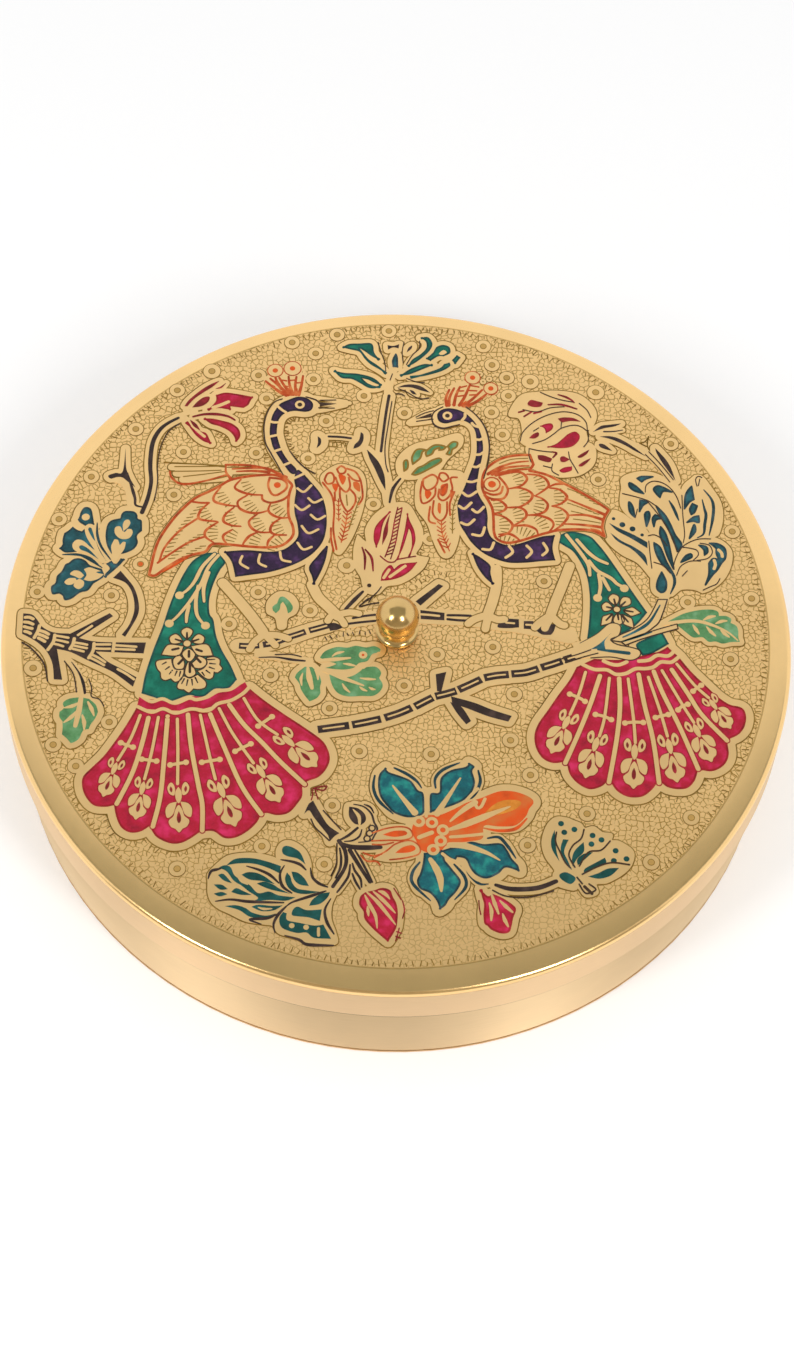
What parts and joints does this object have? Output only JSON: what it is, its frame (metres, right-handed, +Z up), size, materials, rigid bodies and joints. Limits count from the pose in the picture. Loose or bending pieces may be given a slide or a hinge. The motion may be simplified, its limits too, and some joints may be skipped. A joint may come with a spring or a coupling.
{
  "type": "round keepsake box",
  "caption": "Shallow round brass keepsake box: slightly tapered wall, lift-off lid with a short skirt over an inner collar, and a small turned ball knob.",
  "frame": {"origin": "on the resting surface, under the middle of the box", "axes": "+Z up along the box's axis and the knob's; -Y is the front, nearest the viewer; +X is to the right"},
  "size_m": [0.22, 0.22, 0.0596],
  "materials": {
    "brushed_brass": "satin brushed",
    "etched_brass": "polished face with a fine etched ground",
    "polished_brass": "polished",
    "raw_brass": "plain sheet, lightly tarnished",
    "plated_steel": "plated",
    "enamel_crimson": "glossy enamel",
    "enamel_green": "glossy enamel",
    "enamel_teal": "glossy enamel",
    "enamel_leaf_green": "glossy enamel",
    "enamel_orange": "glossy enamel",
    "enamel_purple": "glossy enamel",
    "enamel_black": "glossy enamel"
  },
  "bodies": {
    "base": {"base_floor": "raw_brass", "base_wall": "brushed_brass", "locating_collar": "raw_brass"},
    "lid": {"lid_plate": "etched_brass", "lid_skirt": "brushed_brass", "lid_knob": "polished_brass", "knob_washer": "plated_steel", "knob_screw": "plated_steel"}
  },
  "joints": [
    {"name": "lid_lift", "type": "slide", "parent": "base", "child": "lid", "axis": [0, 0, 1], "range_m": [0, 0.06]}
  ]
}
